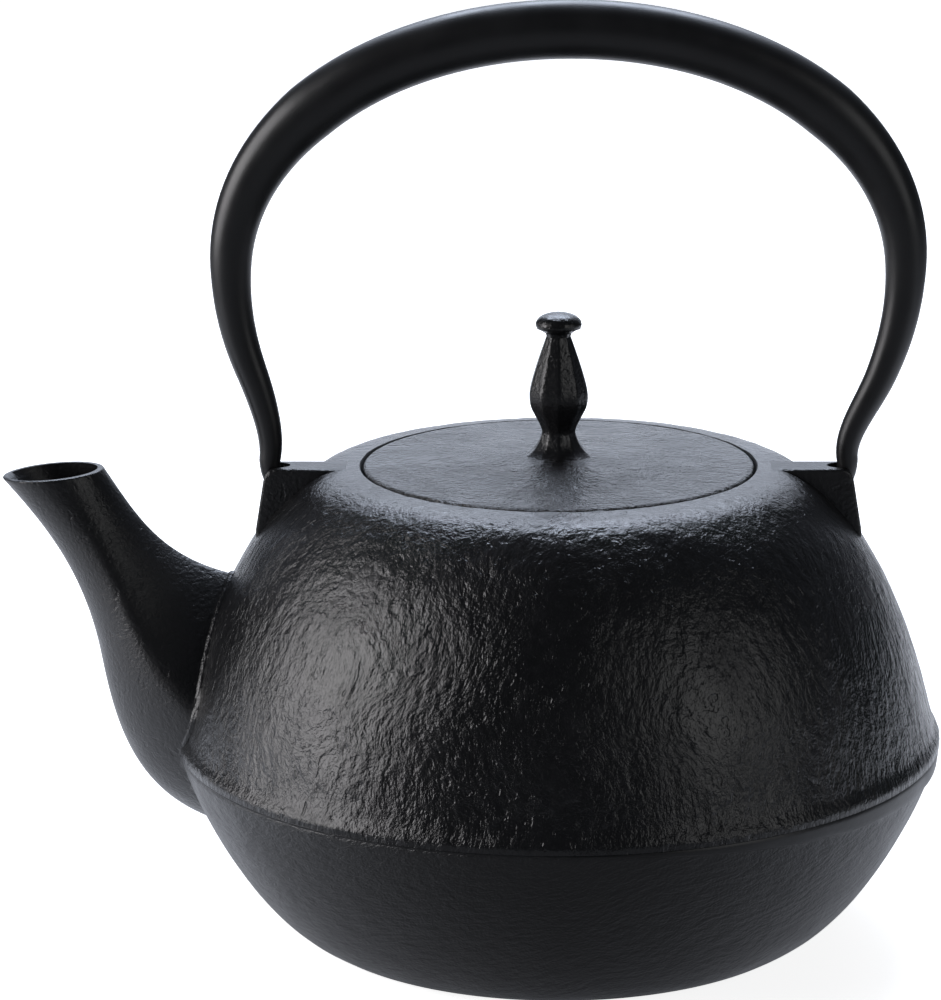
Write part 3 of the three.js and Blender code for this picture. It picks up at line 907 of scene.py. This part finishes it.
# ---- Lights, floor and camera ----
def softbox(name, place, size, radiance, color=(0.86, 0.91, 1.0)):
    """A soft light aimed at the pot; radiance is what the iron sees in its mirror image."""
    data = bpy.data.lights.new(name, "AREA")
    data.shape = "RECTANGLE"
    data.size, data.size_y = size
    data.energy = radiance * math.pi * size[0] * size[1]
    data.color = color
    obj = bpy.data.objects.new(name, data)
    obj.location = place
    obj.rotation_euler = (Vector((0, 0, 0.1)) - Vector(place)).to_track_quat("-Z", "Y").to_euler()
    obj.visible_camera = False
    bpy.context.scene.collection.objects.link(obj)


def studio():
    """Softboxes left, right and above the back, and a pale room straight behind the pot."""
    softbox("left_softbox", (-1.32, -0.22, 0.5), (1.0, 1.15), 5.1, (1.0, 0.98, 1.0))
    softbox("right_softbox", (0.95, -0.7, 0.5), (0.6, 0.8), 1.1, (1.0, 1.0, 1.0))
    softbox("top_softbox", (0.0, 0.8, 1.16), (0.9, 0.5), 9.2, (0.76, 0.84, 1.0))

    world = bpy.data.worlds.new("studio")
    bpy.context.scene.world = world
    world.use_nodes = True
    world.node_tree.nodes.clear()
    add = node_chain(world.node_tree)

    toward = add("ShaderNodeTexCoord").outputs["Generated"]
    parts = add("ShaderNodeSeparateXYZ", {0: toward}).outputs
    behind = smooth_span(add, parts[1], 0.25, 0.6, 0.0, 1.4)
    aside = add("ShaderNodeMath", {0: parts[0]}, operation="ABSOLUTE").outputs[0]
    middle = smooth_span(add, aside, 0.25, 0.5, 1.0, 0.03)
    both = add("ShaderNodeMath", {0: behind, 1: middle}, operation="MULTIPLY").outputs[0]
    glow = add("ShaderNodeMath", {0: both, 1: 0.06}, operation="ADD").outputs[0]
    room = add("ShaderNodeBackground", {"Color": (0.79, 0.86, 1.0, 1), "Strength": glow})
    backdrop = add("ShaderNodeBackground", {"Color": (1, 1, 1, 1), "Strength": 1.0})
    seen = add("ShaderNodeLightPath").outputs["Is Camera Ray"]
    shown = add("ShaderNodeMixShader", {0: seen, 1: room.outputs[0], 2: backdrop.outputs[0]})
    add("ShaderNodeOutputWorld", {"Surface": shown.outputs[0]})
    bpy.context.scene.view_settings.view_transform = "Standard"


def floor():
    """A pale floor, brighter behind the pot as a painted pool of light, that sends less light back
    than it shows.
    """
    reach = 9.0
    mesh = bpy.data.meshes.new("floor")
    corners = [(-reach, -reach, 0), (reach, -reach, 0), (reach, reach, 0), (-reach, reach, 0)]
    mesh.from_pydata(corners, [], [(0, 1, 2, 3)])
    obj = bpy.data.objects.new("floor", mesh)
    bpy.context.scene.collection.objects.link(obj)
    material = bpy.data.materials.new("pale_floor")
    material.use_nodes = True
    material.node_tree.nodes.clear()
    add = node_chain(material.node_tree)
    place = add("ShaderNodeTexCoord").outputs["Object"]
    parts = add("ShaderNodeSeparateXYZ", {0: place}).outputs
    aside = add("ShaderNodeMath", {0: parts[0]}, operation="ABSOLUTE").outputs[0]
    slant = add("ShaderNodeMath", {0: aside, 1: 0.6}, operation="MULTIPLY").outputs[0]
    depth = add("ShaderNodeMath", {0: parts[1], 1: slant}, operation="ADD").outputs[0]
    # painted light: to all but camera rays the floor glows, brightest behind the pot near its
    # middle, a painted pool of light
    behind = smooth_span(add, depth, -0.12, 0.15, 0.1, 1.05)
    middle = smooth_span(add, aside, 0.28, 0.6, 1.0, 0.1)
    glow = add("ShaderNodeMath", {0: behind, 1: middle}, operation="MULTIPLY").outputs[0]
    painted_light_pool = add("ShaderNodeEmission", {"Color": (0.86, 0.9, 1.0, 1), "Strength": glow})
    matt = add("ShaderNodeBsdfDiffuse", {"Color": (0.2, 0.2, 0.2, 1)})
    hidden = add("ShaderNodeAddShader", {0: painted_light_pool.outputs[0], 1: matt.outputs[0]})
    pale = add("ShaderNodeEmission", {"Color": (1, 1, 1, 1), "Strength": 0.85})
    lit = add("ShaderNodeBsdfDiffuse", {"Color": (0.9, 0.9, 0.9, 1)})
    shown = add("ShaderNodeAddShader", {0: pale.outputs[0], 1: lit.outputs[0]})
    seen = add("ShaderNodeLightPath").outputs["Is Camera Ray"]
    both = add("ShaderNodeMixShader", {0: seen, 1: hidden.outputs[0], 2: shown.outputs[0]})
    add("ShaderNodeOutputMaterial", {"Surface": both.outputs[0]})
    obj.data.materials.append(material)


def camera():
    data = bpy.data.cameras.new("photo_view")
    data.sensor_width = 36
    data.lens = CAMERA_FOCAL
    data.shift_x = CAMERA_SHIFT
    data.clip_start, data.clip_end = 0.05, 30
    obj = bpy.data.objects.new("photo_view", data)
    tilt = math.radians(CAMERA_ELEVATION)
    away = CAMERA_DISTANCE * MM
    obj.location = (0, -away * math.cos(tilt), CAMERA_TARGET_Z * MM + away * math.sin(tilt))
    obj.rotation_euler = (math.pi / 2 - tilt, 0, 0)
    bpy.context.scene.collection.objects.link(obj)
    bpy.context.scene.camera = obj


camera()
studio()
floor()
pot_casting()
bail_handle()
lid_plate()
knob()

sheet_steel = steel_look("basket_steel_brushed", 0.3)
washer(sheet_steel)
basket_rim(sheet_steel)
basket_floor(sheet_steel)
basket_weave(steel_look("basket_wire", 0.36))
